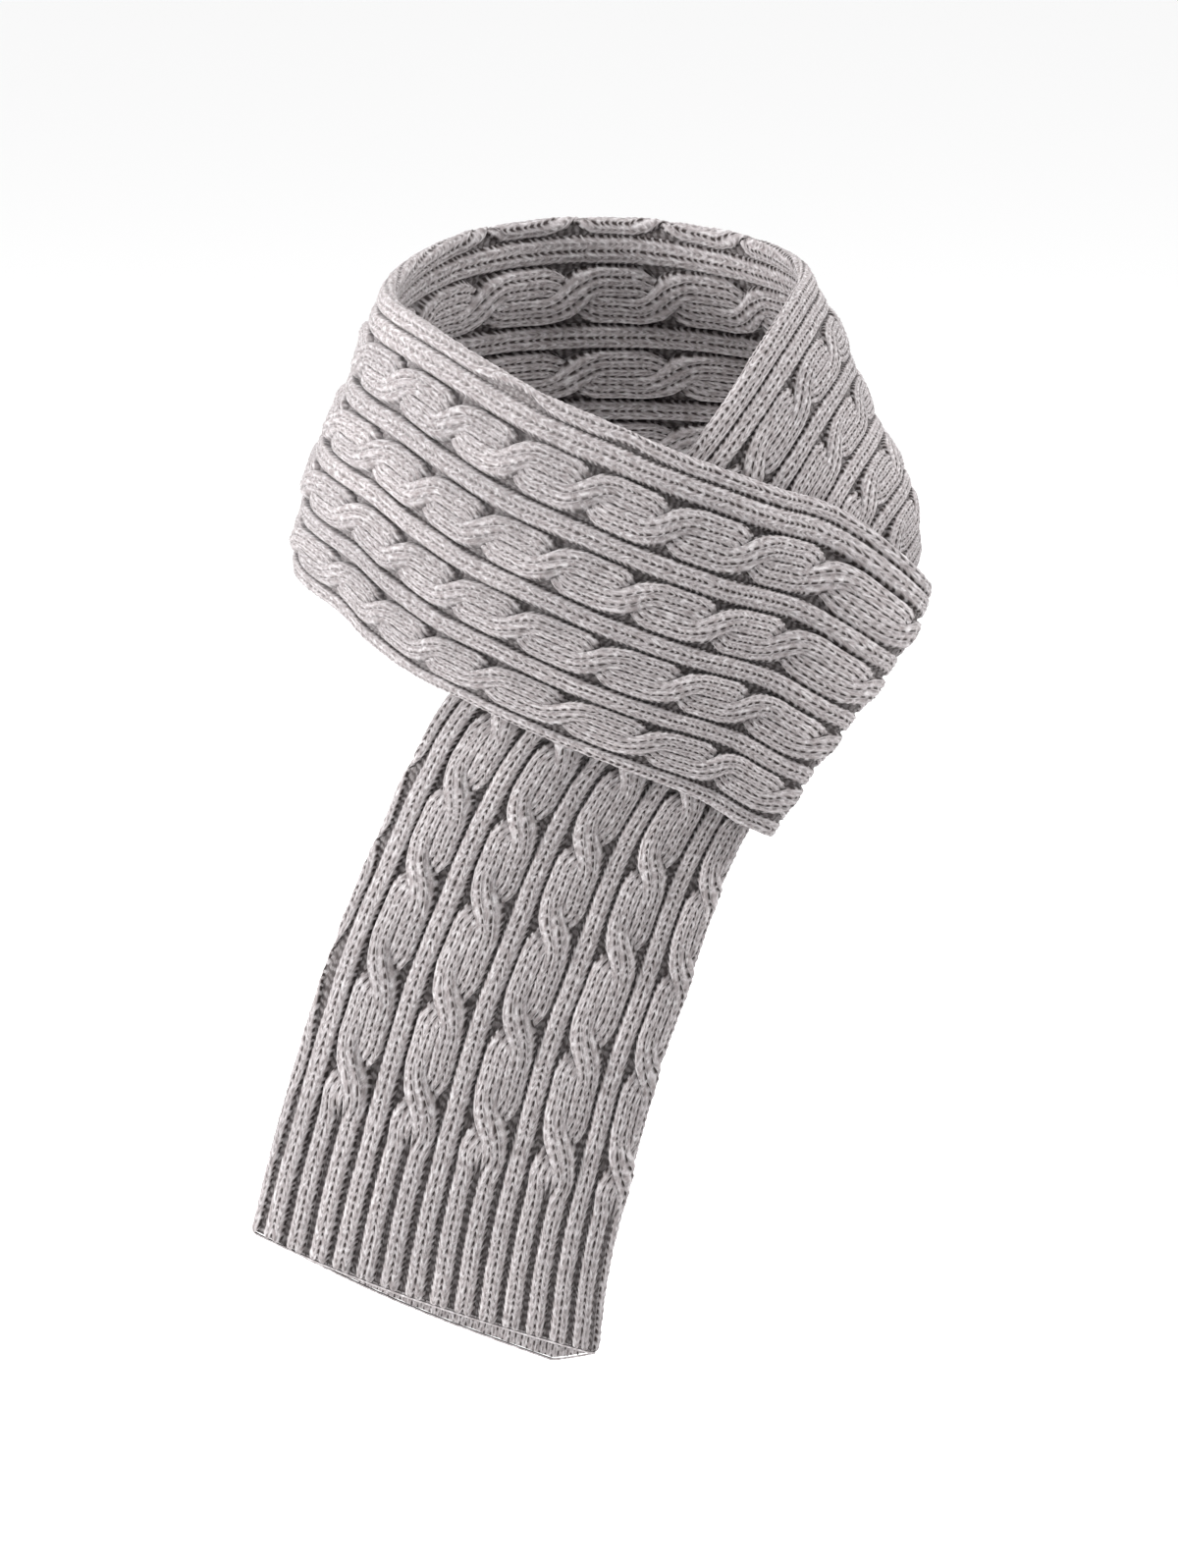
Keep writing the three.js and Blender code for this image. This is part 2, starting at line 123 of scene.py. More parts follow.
# How the pattern lies round the tube, in repeats: its place at the rim edge and at the outer edge, and
# how far the middle of the front face and of the back face lean towards the outer edge
PATTERN = np.array([
    # cable, at rim edge, at outer edge, front lean, back lean
    [-0.85, 0.13, 5.15, 0.21, 0.1],
    [5, 0.13, 5.15, 0.21, 0.1],
    [9, 0, 4.9, 0.1, 0.1],
    [11, 0, 4.9, 0.1, 0.1],
    [12, -0.1, 5.1, 0.1, 0.3],
    [14, -0.17, 5.23, 0.1, 0.38],
    [16, -0.17, 5.23, 0.1, 0.38],
    [19, 0.1, 4.7, 0.2, 0.2],
    [20.5, 0.13, 4.61, 0.21, 0.1],
    [25.5, 0.13, 4.61, 0.21, 0.1],
    [27, 0.13, 4.67, -0.03, 0.1],
    [30.6, 0.13, 4.67, -0.03, 0.1],
])
HEM_START, HEM_END = -0.85, 30.6
TAIL_RIB_TOP, END_RIB_START = 0.62, 29.4
STRETCHES = [
    # node, from, to
    ("tail", HEM_START, 5),
    ("under_stretch", 5, 8),
    ("right_fall", 8, 12),
    ("back_of_neck", 12, 17),
    ("front_band", 17, 26.6),
    ("turned_end", 26.6, HEM_END),
]


def smooth_rows(rows, value):
    """Smooth curves through a table's columns, by its first column."""
    keys, columns = rows[:, 0], rows[:, 1:]
    span = np.diff(keys)
    slope = np.diff(columns, axis=0) / span[:, None]
    tangent = np.empty_like(columns)
    tangent[0], tangent[-1] = slope[0], slope[-1]
    before, after = span[:-1, None], span[1:, None]
    tangent[1:-1] = (slope[:-1] * after + slope[1:] * before) / (before + after)
    i = np.clip(np.searchsorted(keys, value, side="right") - 1, 0, len(keys) - 2)
    f = ((value - keys[i]) / span[i])[..., None]
    h = span[i][..., None]
    return (
        columns[i] * (1 + 2 * f) * (1 - f) ** 2
        + tangent[i] * h * f * (1 - f) ** 2
        + columns[i + 1] * f * f * (3 - 2 * f)
        + tangent[i + 1] * h * f * f * (f - 1)
    )


def turn_lines():
    """Lines of the tight turn, on a half circle from the outer layer to the one beneath."""
    lines = []
    for i in range(TURN_STEPS + 1):
        angle = math.pi * i / TURN_STEPS
        back = LAYER_PITCH * (1 - math.sin(angle))
        edges = [p - back * q for p, q in zip(TURN_LINE, TURN_RUN)]
        cable = TURN_CABLE + TURN_REACH * (2 * i / TURN_STEPS - 1)
        lines.append([cable, *edges, math.cos(angle), TURN_BOW])
    return lines


ALL_LINES = np.array(LINES + turn_lines() + END_LINES, dtype=float)


def form_point(angle_degrees, z, layer):
    """A point on the general figure, moved out by so many layers."""
    centre, half_width, front, back = np.moveaxis(smooth_rows(FORM, z), -1, 0)
    angle = np.radians(angle_degrees)
    sin, cos = np.sin(angle), np.cos(angle)
    depth = np.where(cos > 0, front, back)
    out_x, out_y = sin / half_width, -cos / depth
    size = np.hypot(out_x, out_y)
    x = centre + half_width * sin + out_x / size * LAYER_PITCH * layer
    y = -depth * cos + out_y / size * LAYER_PITCH * layer
    return np.stack([x, y, z], axis=-1)


def middle(cable, across):
    """A point of the cloth's middle. across runs from the rim edge, 0, to the outer edge, 1."""
    a_angle, a_z, b_angle, b_z, layer, bow = np.moveaxis(smooth_rows(ALL_LINES, cable), -1, 0)
    angle = a_angle + (b_angle - a_angle) * across - bow * 4 * across * (1 - across)
    return form_point(angle, a_z + (b_z - a_z) * across, layer)


def unit(v):
    return v / np.linalg.norm(v, axis=-1, keepdims=True)


def frame_at(cable, across):
    """A point of the cloth's middle, the direction along the scarf and the direction out of its front."""
    along = unit(middle(cable + DIRECTION_STEP, across) - middle(cable - DIRECTION_STEP, across))
    sideways = unit(middle(cable, across + DIRECTION_STEP) - middle(cable, across - DIRECTION_STEP))
    return middle(cable, across), along, unit(np.cross(sideways, along))


def smoothstep(low, high, x):
    t = np.clip((x - low) / (high - low), 0, 1)
    return t * t * (3 - 2 * t)


def mouth(cable):
    """How far the tube is open, 1 at the tail's hem."""
    return np.clip((HEM_START + MOUTH_REACH - cable) / MOUTH_REACH, 0, 1) ** 2


def on_face(cable, around):
    """Which places round the tube are on the back, their share of the width, and repeats from an edge."""
    at_a, at_b, front_lean, back_lean = np.moveaxis(smooth_rows(PATTERN, cable), -1, 0)
    from_a = np.mod(around - at_a, REPEATS)
    front = at_b - at_a
    is_back = from_a > front
    way = np.where(is_back, (REPEATS - from_a) / (REPEATS - front), from_a / front)
    share = way + np.where(is_back, back_lean, front_lean) * way * (1 - way)
    from_edge = np.minimum(np.minimum(from_a, REPEATS - from_a), np.abs(from_a - front))
    return is_back, share, from_edge


def section(cable, around, raised, inside=False):
    """Points of the flat tube's section: around counts repeats over the front face and back."""
    cable, around, raised = np.broadcast_arrays(cable, around, raised)
    is_back, share, _ = on_face(cable, around)
    open_share = mouth(cable)
    if inside:
        half = POCKET_HALF_GAP + (MOUTH_HALF_GAP - POCKET_HALF_GAP) * open_share
    else:
        half = HALF_CLOTH + (MOUTH_HALF_CLOTH - HALF_CLOTH) * open_share
    across_cloth = middle(cable, np.ones_like(share)) - middle(cable, np.zeros_like(share))
    ends = np.linalg.norm(across_cloth, axis=-1)
    bend = half * math.pi / 2
    whole = ends - 2 * EDGE_INSET - 2 * half + 2 * bend
    arc = share * whole
    from_edge = np.minimum(arc, whole - arc)
    turn = np.minimum(from_edge / half, math.pi / 2)
    beyond = np.maximum(0, from_edge - bend)
    inward = EDGE_INSET + half * (1 - np.cos(turn)) + beyond - raised * np.cos(turn)
    across = np.where(arc < whole / 2, inward, ends - inward) / ends
    depth = np.where(is_back, -1, 1) * np.sin(turn) * (half + raised)
    point, along, out = frame_at(cable, across)
    from_folds = np.minimum(1, DROP_STEEPNESS * np.sin(math.pi * share))
    drop = is_back * open_share * BACK_WALL_DROP * share * from_folds
    return point + out * (depth + drape(cable, across))[..., None] - along * drop[..., None]


# Soft troughs and ridges of the draped cloth
CREASES = np.array([
    # cable, across, half length in cables, half width across, depth
    [2.6, 0.30, 2.2, 0.20, 1.6],
    [3.4, 0.72, 1.8, 0.18, -1.8],
    [0.6, 0.55, 1.4, 0.16, 1.3],
    [9.6, 0.45, 1.6, 0.13, -3.2],
    [10.6, 0.75, 1.5, 0.14, 2.4],
    [13.2, 0.55, 1.3, 0.22, 2.2],
    [15.4, 0.35, 1.5, 0.20, -1.9],
    [18.3, 0.62, 1.2, 0.18, 2.6],
    [19.6, 0.30, 1.4, 0.16, -2.0],
    [21.8, 0.66, 1.9, 0.17, 1.5],
    [24.2, 0.28, 1.5, 0.15, 1.2],
])


def drape(cable, across):
    """How far the creases move the cloth out."""
    moved = np.zeros(np.broadcast(cable, across).shape)
    for at, side, length, width, depth in CREASES:
        moved += depth * np.exp(-(((cable - at) / length) ** 2) - ((across - side) / width) ** 2)
    return moved


# Waves that make the ribs and cables a little uneven
DRIFTS = [
    # share, radians for each cable, radians for each step of the seed
    (0.6, 2.3, 4.1),
    (0.3, 5.1, 7.7),
    (0.2, 9.7, 2.9),
]


def wander(cable, seed, size):
    """A slow, uneven drift along the scarf, different for each seed."""
    return size * sum(share * np.sin(cable * along + seed * apart) for share, along, apart in DRIFTS)


# Knit stitches. Each wale is two slanted legs, drawn by four columns of points, two rows to a stitch
ROWS_PER_STITCH = 2
ROWS_PER_CABLE = STITCH_ROWS * ROWS_PER_STITCH
LINING_ROWS = 2 * ROWS_PER_CABLE  # the tube's inside is drawn this far above the open hem
LEG_RELIEF = 0.7
WALE_CENTRE = 0.5  # the two legs meet at this share of their height
ROW_GROOVE = 0.35
GROOVE_AT_EDGE = 0.3  # share of the groove's depth that is left at a wale's edges
LEG_SLANT = 0.42 / STITCH_ROWS  # in cables
SKIRT = 1.1  # how far a strip's sides reach beyond its wales, in half widths
SKIRT_DEPTH = -1.9
UNEVEN = 0.1  # mm, from stitch to stitch

# A repeat's wales: three in each strand of a cable, and two in the rib beside it
STRAND_WALES, RIB_WALES = 3, 2
WALES_IN_REPEAT = 2 * STRAND_WALES + RIB_WALES
RIB_DRIFT, CABLE_DRIFT = 0.008, 0.007  # in repeats
RIB_WIDTH_DRIFT = 0.04  # of a rib's width
RIB_SEED, RIB_WIDTH_SEED, CABLE_SEED = 1.7, 3, 2.3

# Sizes of ribs and cables, with widths in repeats. A height at the sides is a share of the middle's
RIB_HALF = 0.144
RIB_HEIGHT, RIB_SIDES = 2.6, 0.35
CABLE_HALF = 0.335
CABLE_HEIGHT, CABLE_SIDES = 4.0, 0.15
STRAND_HALF = 0.168
PLAIN_REACH = 0.135, 0.15  # from a folded edge

# The rope is the strand that passes over a crossing. Lengths along it are in cables
ROPE_HALF = 0.24  # in repeats
ROPE_HEIGHT, ROPE_SIDES = 5.6, 0.3
ROPE_NARROWS = 0.15
ROPE_SWING = 0.34  # it changes sides within this reach of the crossing
ROPE_RISES, ROPE_FALLS = 0.42, 0.5
PETAL_SINKS = 1.1  # the other strand lies lower beside the falling rope
UNDER_SWING = 0.31
UNDER_START, UNDER_FULL = 0.04, 0.25  # where the strand that passes under comes up beside the rope
UNDER_DEPTH = 1.0

# The hems' ribs, three in a repeat: one goes on from the rib, and each strand's outer two wales are one
HEM_RIBS_IN_REPEAT = 3
HEM_BLEND = 0.12  # half the reach over which cables pass into ribs
HEM_HEIGHT = 2.3
HEM_RIB_HALF = 0.13
HEM_RIB_MIDDLE = 1 / 6  # in repeats from a cable's middle
HEM_ROUND = 0.05  # the hem's ribs round off over this much of a cable
OUTER_MIDDLE, OUTER_HALF = 1 / 3, 2 / 3  # a strand's outer two wales, in half strand widths
INNER_SPREAD = 0.02  # the inner wale keeps a little width, in repeats
INNER_LIMIT = -1.02  # what lies past this place in a hem rib is the sunk inner wale

# The purl ground
GROUND_HEIGHT = -1.1
BAR_RELIEF = 0.4
BAR_FROM, BAR_TO = 0.1, 0.45  # repeats from a cable's middle
BARS_IN_REPEAT = 12

# Relief is pressed flatter by these shares at the folded edges, round the tight turn and on the right fall
EDGE_PRESS, EDGE_REACH = 0.7, 0.3
TURN_PRESS = 0.62
FALL_PRESS, FALL_CABLE, FALL_REACH = 0.48, 10.3, 2.0


def row_places(start, end):
    """The grid's rows by number, two to each row of stitches."""
    return np.arange(round(start * ROWS_PER_CABLE), round(end * ROWS_PER_CABLE) + 1)


STRAY_SEED = 7
FIRST_ROW = round(HEM_START * STITCH_ROWS) - 1
LAST_ROW = round(HEM_END * STITCH_ROWS) + 1
stray = np.random.default_rng(STRAY_SEED).normal(size=(LAST_ROW - FIRST_ROW + 1, REPEATS * WALES_IN_REPEAT))


def hem_share(cable):
    """1 in the two ribbed hems and 0 between them."""
    low = 1 - smoothstep(TAIL_RIB_TOP - HEM_BLEND, TAIL_RIB_TOP + HEM_BLEND, cable)
    high = smoothstep(END_RIB_START - HEM_BLEND, END_RIB_START + HEM_BLEND, cable)
    return np.maximum(low, high)


def stitch_grid(places, wales, first_wale):
    """A strip's points: cable count, fine relief, place across from -1 to 1, and wale and row numbers."""
    up = np.array([0, 1, WALE_CENTRE, 1] * wales + [0])
    slant = np.array([1, 0, -1, 0] * wales + [1])
    up = np.concatenate([[0], up, [0]])
    slant = np.concatenate([[1], slant, [1]])
    local = np.concatenate([[-SKIRT], np.linspace(-1, 1, 4 * wales + 1), [SKIRT]])
    cable = np.clip(places[:, None] / ROWS_PER_CABLE + slant * LEG_SLANT, HEM_START, HEM_END)
    groove = (np.mod(places, ROWS_PER_STITCH) == 0)[:, None]
    wale = np.clip(np.floor((local + 1) / 2 * wales), 0, wales - 1).astype(int) + first_wale
    loose = UNEVEN * stray[(places // ROWS_PER_STITCH - FIRST_ROW)[:, None], wale[None, :]]
    groove_depth = ROW_GROOVE * (GROOVE_AT_EDGE + (1 - GROOVE_AT_EDGE) * up)
    fine = (LEG_RELIEF + loose) * up - groove_depth * groove
    wale_place = first_wale + (local + 1) / 2 * wales
    row_place = places[:, None] / ROWS_PER_STITCH
    return cable, fine, *np.broadcast_arrays(local, wale_place, row_place, cable)[:3]


def flatter(cable, around):
    """Relief is pressed flatter at the folded edges, round the tight turn and on the right fall."""
    from_edge = on_face(cable, around)[2]
    edge = 1 - EDGE_PRESS * np.exp(-((from_edge / EDGE_REACH) ** 2))
    turn = 1 - TURN_PRESS * np.exp(-(((cable - TURN_CABLE) / TURN_REACH) ** 2))
    fall = 1 - FALL_PRESS * np.exp(-(((cable - FALL_CABLE) / FALL_REACH) ** 2))
    return edge * turn * fall


def dome(place, edge_share):
    """A rounded section, 1 in the middle and edge_share at places -1 and 1."""
    return edge_share + (1 - edge_share) * np.sqrt(1 - np.minimum(1, np.abs(place)) ** 2)


def finish_strip(cable, around, raised, fine):
    """A strip's whole relief, rounded off at the hems, with its sides let down into the ground."""
    from_end = np.minimum(cable - HEM_START, HEM_END - cable)
    rounded = np.sqrt(1 - np.clip(1 - from_end / HEM_ROUND, 0, 1) ** 2)
    raised = (raised * flatter(cable, around) + fine) * rounded
    raised[:, 0] = raised[:, -1] = SKIRT_DEPTH
    return raised


def rib_strip(places, repeat):
    """The rib halfway between two cables."""
    first_wale = repeat * WALES_IN_REPEAT + 2 * STRAND_WALES
    cable, fine, local, wale_place, row_place = stitch_grid(places, RIB_WALES, first_wale)
    seed = repeat * RIB_SEED
    half = RIB_HALF * (1 + wander(cable, seed + RIB_WIDTH_SEED, RIB_WIDTH_DRIFT))
    half = half + (HEM_RIB_HALF - half) * hem_share(cable)
    around = repeat + 0.5 + wander(cable, seed, RIB_DRIFT) + local * half
    height = RIB_HEIGHT + (HEM_HEIGHT - RIB_HEIGHT) * hem_share(cable)
    raised = height * dome(local, RIB_SIDES)
    return cable, around, finish_strip(cable, around, raised, fine), wale_place, row_place


def strand_strip(places, repeat, which):
    """One strand of a cable. which is 1 or -1, the side it keeps above the even crossings."""
    first_wale = repeat * WALES_IN_REPEAT + (STRAND_WALES if which > 0 else 0)
    cable, fine, local, wale_place, row_place = stitch_grid(places, STRAND_WALES, first_wale)
    line = np.clip(places[:, None] / ROWS_PER_CABLE, TAIL_RIB_TOP, END_RIB_START)
    crossing = np.round(line)
    phase = line - crossing
    above = which * np.where(np.mod(crossing, 2) == 0, 1, -1)  # its side above this crossing
    on_top = above < 0
    reach = np.where(on_top, ROPE_SWING, UNDER_SWING)
    side = above * np.sin(np.clip(phase / reach, -1, 1) * math.pi / 2)
    plain = 1 - smoothstep(*PLAIN_REACH, on_face(line, repeat)[2])  # a cable right on a fold has no crossing
    side = side + (which - side) * plain
    falling = phase > 0
    near = np.maximum(0, 1 - (phase / np.where(falling, ROPE_FALLS, ROPE_RISES)) ** 2)
    near = np.where(falling, near, near ** 2) * (1 - plain)
    widened = np.exp(-((phase / ROPE_NARROWS) ** 2)) * on_top * (1 - plain)
    half = STRAND_HALF + (ROPE_HALF - STRAND_HALF) * widened
    offset = side * (CABLE_HALF - STRAND_HALF) + local * half
    whole = CABLE_HEIGHT * dome(offset / CABLE_HALF, CABLE_SIDES)
    rope = ROPE_HEIGHT * dome(local, ROPE_SIDES)
    comes_up = np.clip((np.abs(phase) - UNDER_START) / (UNDER_FULL - UNDER_START), 0, 1)
    sunk = (whole + UNDER_DEPTH) * dome(1 - comes_up, 0) - UNDER_DEPTH
    sunk = sunk - PETAL_SINKS * np.maximum(0, 1 - (phase / ROPE_FALLS) ** 2) * falling
    sunk = sunk + (whole - sunk) * plain
    raised = np.where(on_top, whole + (rope - whole) * near, sunk)

    # In the hems a strand's outer two wales are a rib, and its inner wale sinks beside it
    hem = hem_share(places[:, None] / ROWS_PER_CABLE)
    outward = np.where(side >= 0, 1, -1)
    in_rib = (local * outward - OUTER_MIDDLE) / OUTER_HALF
    beside = HEM_RIB_MIDDLE - HEM_RIB_HALF + (in_rib + 1) * INNER_SPREAD
    hem_offset = outward * np.where(in_rib > -1, HEM_RIB_MIDDLE + in_rib * HEM_RIB_HALF, beside)
    hem_raised = np.where(in_rib > INNER_LIMIT, HEM_HEIGHT * dome(in_rib, RIB_SIDES), SKIRT_DEPTH)
    around = repeat + wander(cable, repeat * CABLE_SEED, CABLE_DRIFT) + offset + (hem_offset - offset) * hem
    raised = raised + (hem_raised - raised) * hem
    fine = fine * (1 - hem * (in_rib < INNER_LIMIT))
    return cable, around, finish_strip(cable, around, raised, fine), wale_place, row_place


# Columns of the purl ground in one repeat, from the middle of a cable
GROUND_COLUMNS = [0, 0.12, 0.2, 0.27, 0.33, 0.38, 0.5, 0.62, 0.67, 0.73, 0.8, 0.88]


def ground_sheet(places):
    """The sunk purl cloth between the ribs and cables, with a bar to each row."""
    columns = np.array([repeat + place for repeat in range(REPEATS) for place in GROUND_COLUMNS])
    cable = places[:, None] / ROWS_PER_CABLE + np.zeros((1, len(columns)))
    around = columns + 0 * cable
    from_cable = np.abs(columns - np.round(columns))
    purl = (from_cable > BAR_FROM) & (from_cable < BAR_TO)
    bar = np.where(np.mod(places, ROWS_PER_STITCH) == 0, -BAR_RELIEF, BAR_RELIEF)[:, None] * purl
    return cable, around, GROUND_HEIGHT * flatter(cable, around) + bar


def lining(places):
    """The inside of the tube near its open end, with the backs of the ribs."""
    columns = np.arange(0, REPEATS, 1 / BARS_IN_REPEAT)[None, :]
    ribs = -LINING_RELIEF * (1 + np.cos(2 * math.pi * HEM_RIBS_IN_REPEAT * columns)) / 2
    points = section(places / ROWS_PER_CABLE, columns, ribs, inside=True)
    return points, columns * BARS_IN_REPEAT, places / ROWS_PER_STITCH


def hem_lip():
    """The rounded edge of the tail's open end, from the outside of the tube to its inside."""
    columns = np.arange(0, REPEATS, 1 / BARS_IN_REPEAT)[None, :]
    place = np.array([[HEM_START]])
    outside = section(place, columns, np.array([[LIP_RAISED]]))
    inside = section(place, columns, np.zeros((1, 1)), inside=True)
    down = -frame_at(HEM_START, 0.5)[1]
    share = np.linspace(0, 1, LIP_STEPS)[:, None, None]
    points = outside * (1 - share) + inside * share + down * LIP_DEPTH * np.sin(math.pi * share)
    return points, LIP_WALE_PLACE, columns * BARS_IN_REPEAT


class Cloth:
    """Gathers strips of points into one mesh."""

    def __init__(self):
        self.points, self.faces, self.knit = [], [], []
        self.count = 0

    def add(self, points, wale_place, row_place, closed=False, flip=False):
        rows, columns = points.shape[:2]
        index = self.count + np.arange(rows * columns).reshape(rows, columns)
        if closed:
            index = np.concatenate([index, index[:, :1]], axis=1)
        a, b = index[:-1, :-1], index[:-1, 1:]
        c, d = index[1:, 1:], index[1:, :-1]
        quads = np.stack([a, b, c, d] if not flip else [a, d, c, b], axis=-1).reshape(-1, 4)
        self.points.append(points.reshape(-1, 3))
        self.faces.append(quads)
        knit = np.stack(np.broadcast_arrays(wale_place, row_place), axis=-1)
        self.knit.append(np.broadcast_to(knit, (rows, columns, 2)).reshape(-1, 2))
        self.count += rows * columns

    def build(self, name, material):
        points = np.concatenate(self.points) * MM
        faces = np.concatenate(self.faces)
        mesh = bpy.data.meshes.new(name)
        mesh.vertices.add(len(points))
        mesh.vertices.foreach_set("co", points.astype(np.float32).ravel())
        mesh.loops.add(faces.size)
        mesh.loops.foreach_set("vertex_index", faces.astype(np.int32).ravel())
        mesh.polygons.add(len(faces))
        mesh.polygons.foreach_set("loop_start", np.arange(0, faces.size, 4, dtype=np.int32))
        mesh.update(calc_edges=True)
        mesh.validate()
        knit = np.concatenate(self.knit)
        knit = np.column_stack([knit, np.zeros(len(knit))])
        place = mesh.attributes.new("stitch_place", "FLOAT_VECTOR", "POINT")
        place.data.foreach_set("vector", knit.astype(np.float32).ravel())
        mesh.shade_smooth()
        mesh.materials.append(material)
        piece = bpy.data.objects.new(name, mesh)
        bpy.context.scene.collection.objects.link(piece)
        return piece


class Shader:
    """Short names for building one material's nodes."""

    def __init__(self, name):
        self.material = bpy.data.materials.new(name)
        self.material.use_nodes = True
        self.nodes, self.links = self.material.node_tree.nodes, self.material.node_tree.links
        self.nodes.clear()
        out = self.nodes.new("ShaderNodeOutputMaterial")
        self.surface = self.nodes.new("ShaderNodeBsdfPrincipled")
        self.links.new(self.surface.outputs[0], out.inputs[0])

    def put(self, socket, value):
        if isinstance(value, (int, float)):
            socket.default_value = value
        else:
            self.links.new(value, socket)

    def math(self, operation, *values):
        node = self.nodes.new("ShaderNodeMath")
        node.operation = operation
        for socket, value in zip(node.inputs, values):
            self.put(socket, value)
        return node.outputs[0]

    def step(self, value, low, high):
        """0 below low and 1 above high, smoothly between."""
        node = self.nodes.new("ShaderNodeMapRange")
        node.interpolation_type = "SMOOTHSTEP"
        self.put(node.inputs["Value"], value)
        node.inputs["From Min"].default_value = low
        node.inputs["From Max"].default_value = high
        return node.outputs["Result"]

    def span(self, value, low, high):
        """A value from 0 to 1, spread over low to high."""
        return self.math("MULTIPLY_ADD", value, high - low, low)

    def noise(self, vector, scale, detail=2.0, rough=0.5, stretch=None):
        node = self.nodes.new("ShaderNodeTexNoise")
        node.inputs["Scale"].default_value = scale
        node.inputs["Detail"].default_value = detail
        node.inputs["Roughness"].default_value = rough
        if stretch:
            mapping = self.nodes.new("ShaderNodeMapping")
            mapping.inputs["Scale"].default_value = stretch
            self.links.new(vector, mapping.inputs["Vector"])
            vector = mapping.outputs[0]
        self.links.new(vector, node.inputs["Vector"])
        return node.outputs["Fac"]

    def ramp(self, value, stops):
        node = self.nodes.new("ShaderNodeValToRGB")
        elements = node.color_ramp.elements
        while len(elements) < len(stops):
            elements.new(0.5)
        for element, (at, colour) in zip(elements, stops):
            element.position = at
            element.color = (*colour, 1)
        self.links.new(value, node.inputs["Fac"])
        return node.outputs["Color"]

    def mix(self, share, first, second, kind="MIX"):
        node = self.nodes.new("ShaderNodeMix")
        node.data_type = "RGBA"
        node.blend_type = kind
        self.put(node.inputs["Factor"], share)
        for socket, value in ((node.inputs["A"], first), (node.inputs["B"], second)):
            if isinstance(value, tuple):
                socket.default_value = (*value, 1)
            else:
                self.links.new(value, socket)
        return node.outputs["Result"]

    def bump(self, height, strength, distance, before=None):
        node = self.nodes.new("ShaderNodeBump")
        node.inputs["Strength"].default_value = strength
        node.inputs["Distance"].default_value = distance
        self.links.new(height, node.inputs["Height"])
        if before:
            self.links.new(before, node.inputs["Normal"])
        return node.outputs[0]


# The yarn. A stop is a place in a noise and its colour or tone
# Painted shade: the near-black colour laid into the gaps between stitches, where shade falls
PAINTED_GAP_SHADE = (0.02, 0.0145, 0.0135)
MARL = [
    (0.30, (0.165, 0.143, 0.142)),
    (0.46, (0.255, 0.233, 0.235)),
    (0.57, (0.345, 0.325, 0.329)),
    (0.72, (0.5, 0.482, 0.488)),
]
SLOW_TONE = [(0.3, (0.9, 0.9, 0.9)), (0.7, (1.06, 1.055, 1.05))]
FIBRE_TONE = [(0.3, (0.92, 0.92, 0.92)), (0.7, (1.06, 1.06, 1.06))]
STRAY_ACROSS, STRAY_ALONG = 0.3, 2.4  # how far stitches stray from the even grid, in wales and rows
ROUGHNESS, SPECULAR = 0.85, 0.2
SHEEN, SHEEN_ROUGHNESS = 0.12, 0.4
FIBRE_SCALE = 1500.0
PLY_DEPTH, FIBRE_DEPTH, BUMP_STRENGTH = 0.0005, 0.0004, 0.5  # depths in metres

# How often each noise changes across a wale and along a row of stitches
STRAY_NOISE = (0.55, 0.3, 1)
FLECK_NOISE = (3.4, 0.9, 1)
SLOW_NOISE = (0.11, 0.06, 1)
PLY_NOISE = (9.0, 2.4, 1)

# Shade painted into the gaps at a wale's edges, along its middle and between its rows, and on the purl
# ground, where shade falls between the stitches. A gap opens from the first place to the second, where 1 is
# the gap's own line. Along the wale its painted shade goes from the first level to the second
EDGE_OPENS, EDGE_ROWS, EDGE_LEVELS = (0.53, 0.93), (0.2, 0.65), (0.22, 1.0)
MIDDLE_OPENS, MIDDLE_ROWS, MIDDLE_LEVELS = (0.6, 0.95), (0.3, 0.75), (0.05, 0.55)
ROW_OPENS, ROW_LEVEL = (0.75, 1.0), 0.15
PURL_OPENS, PURL_LEVELS = (0.25, 0.8), (0.55, 0.85)

# On the left side, which faces the key light, painted light lifts the gaps' painted shade by this share. It
# comes and goes between these rows
LIT_SIDE_FROM, LIT_SIDE_TO = (196, 230), (250, 296)
LIT_SIDE_LIGHTENS = 0.42


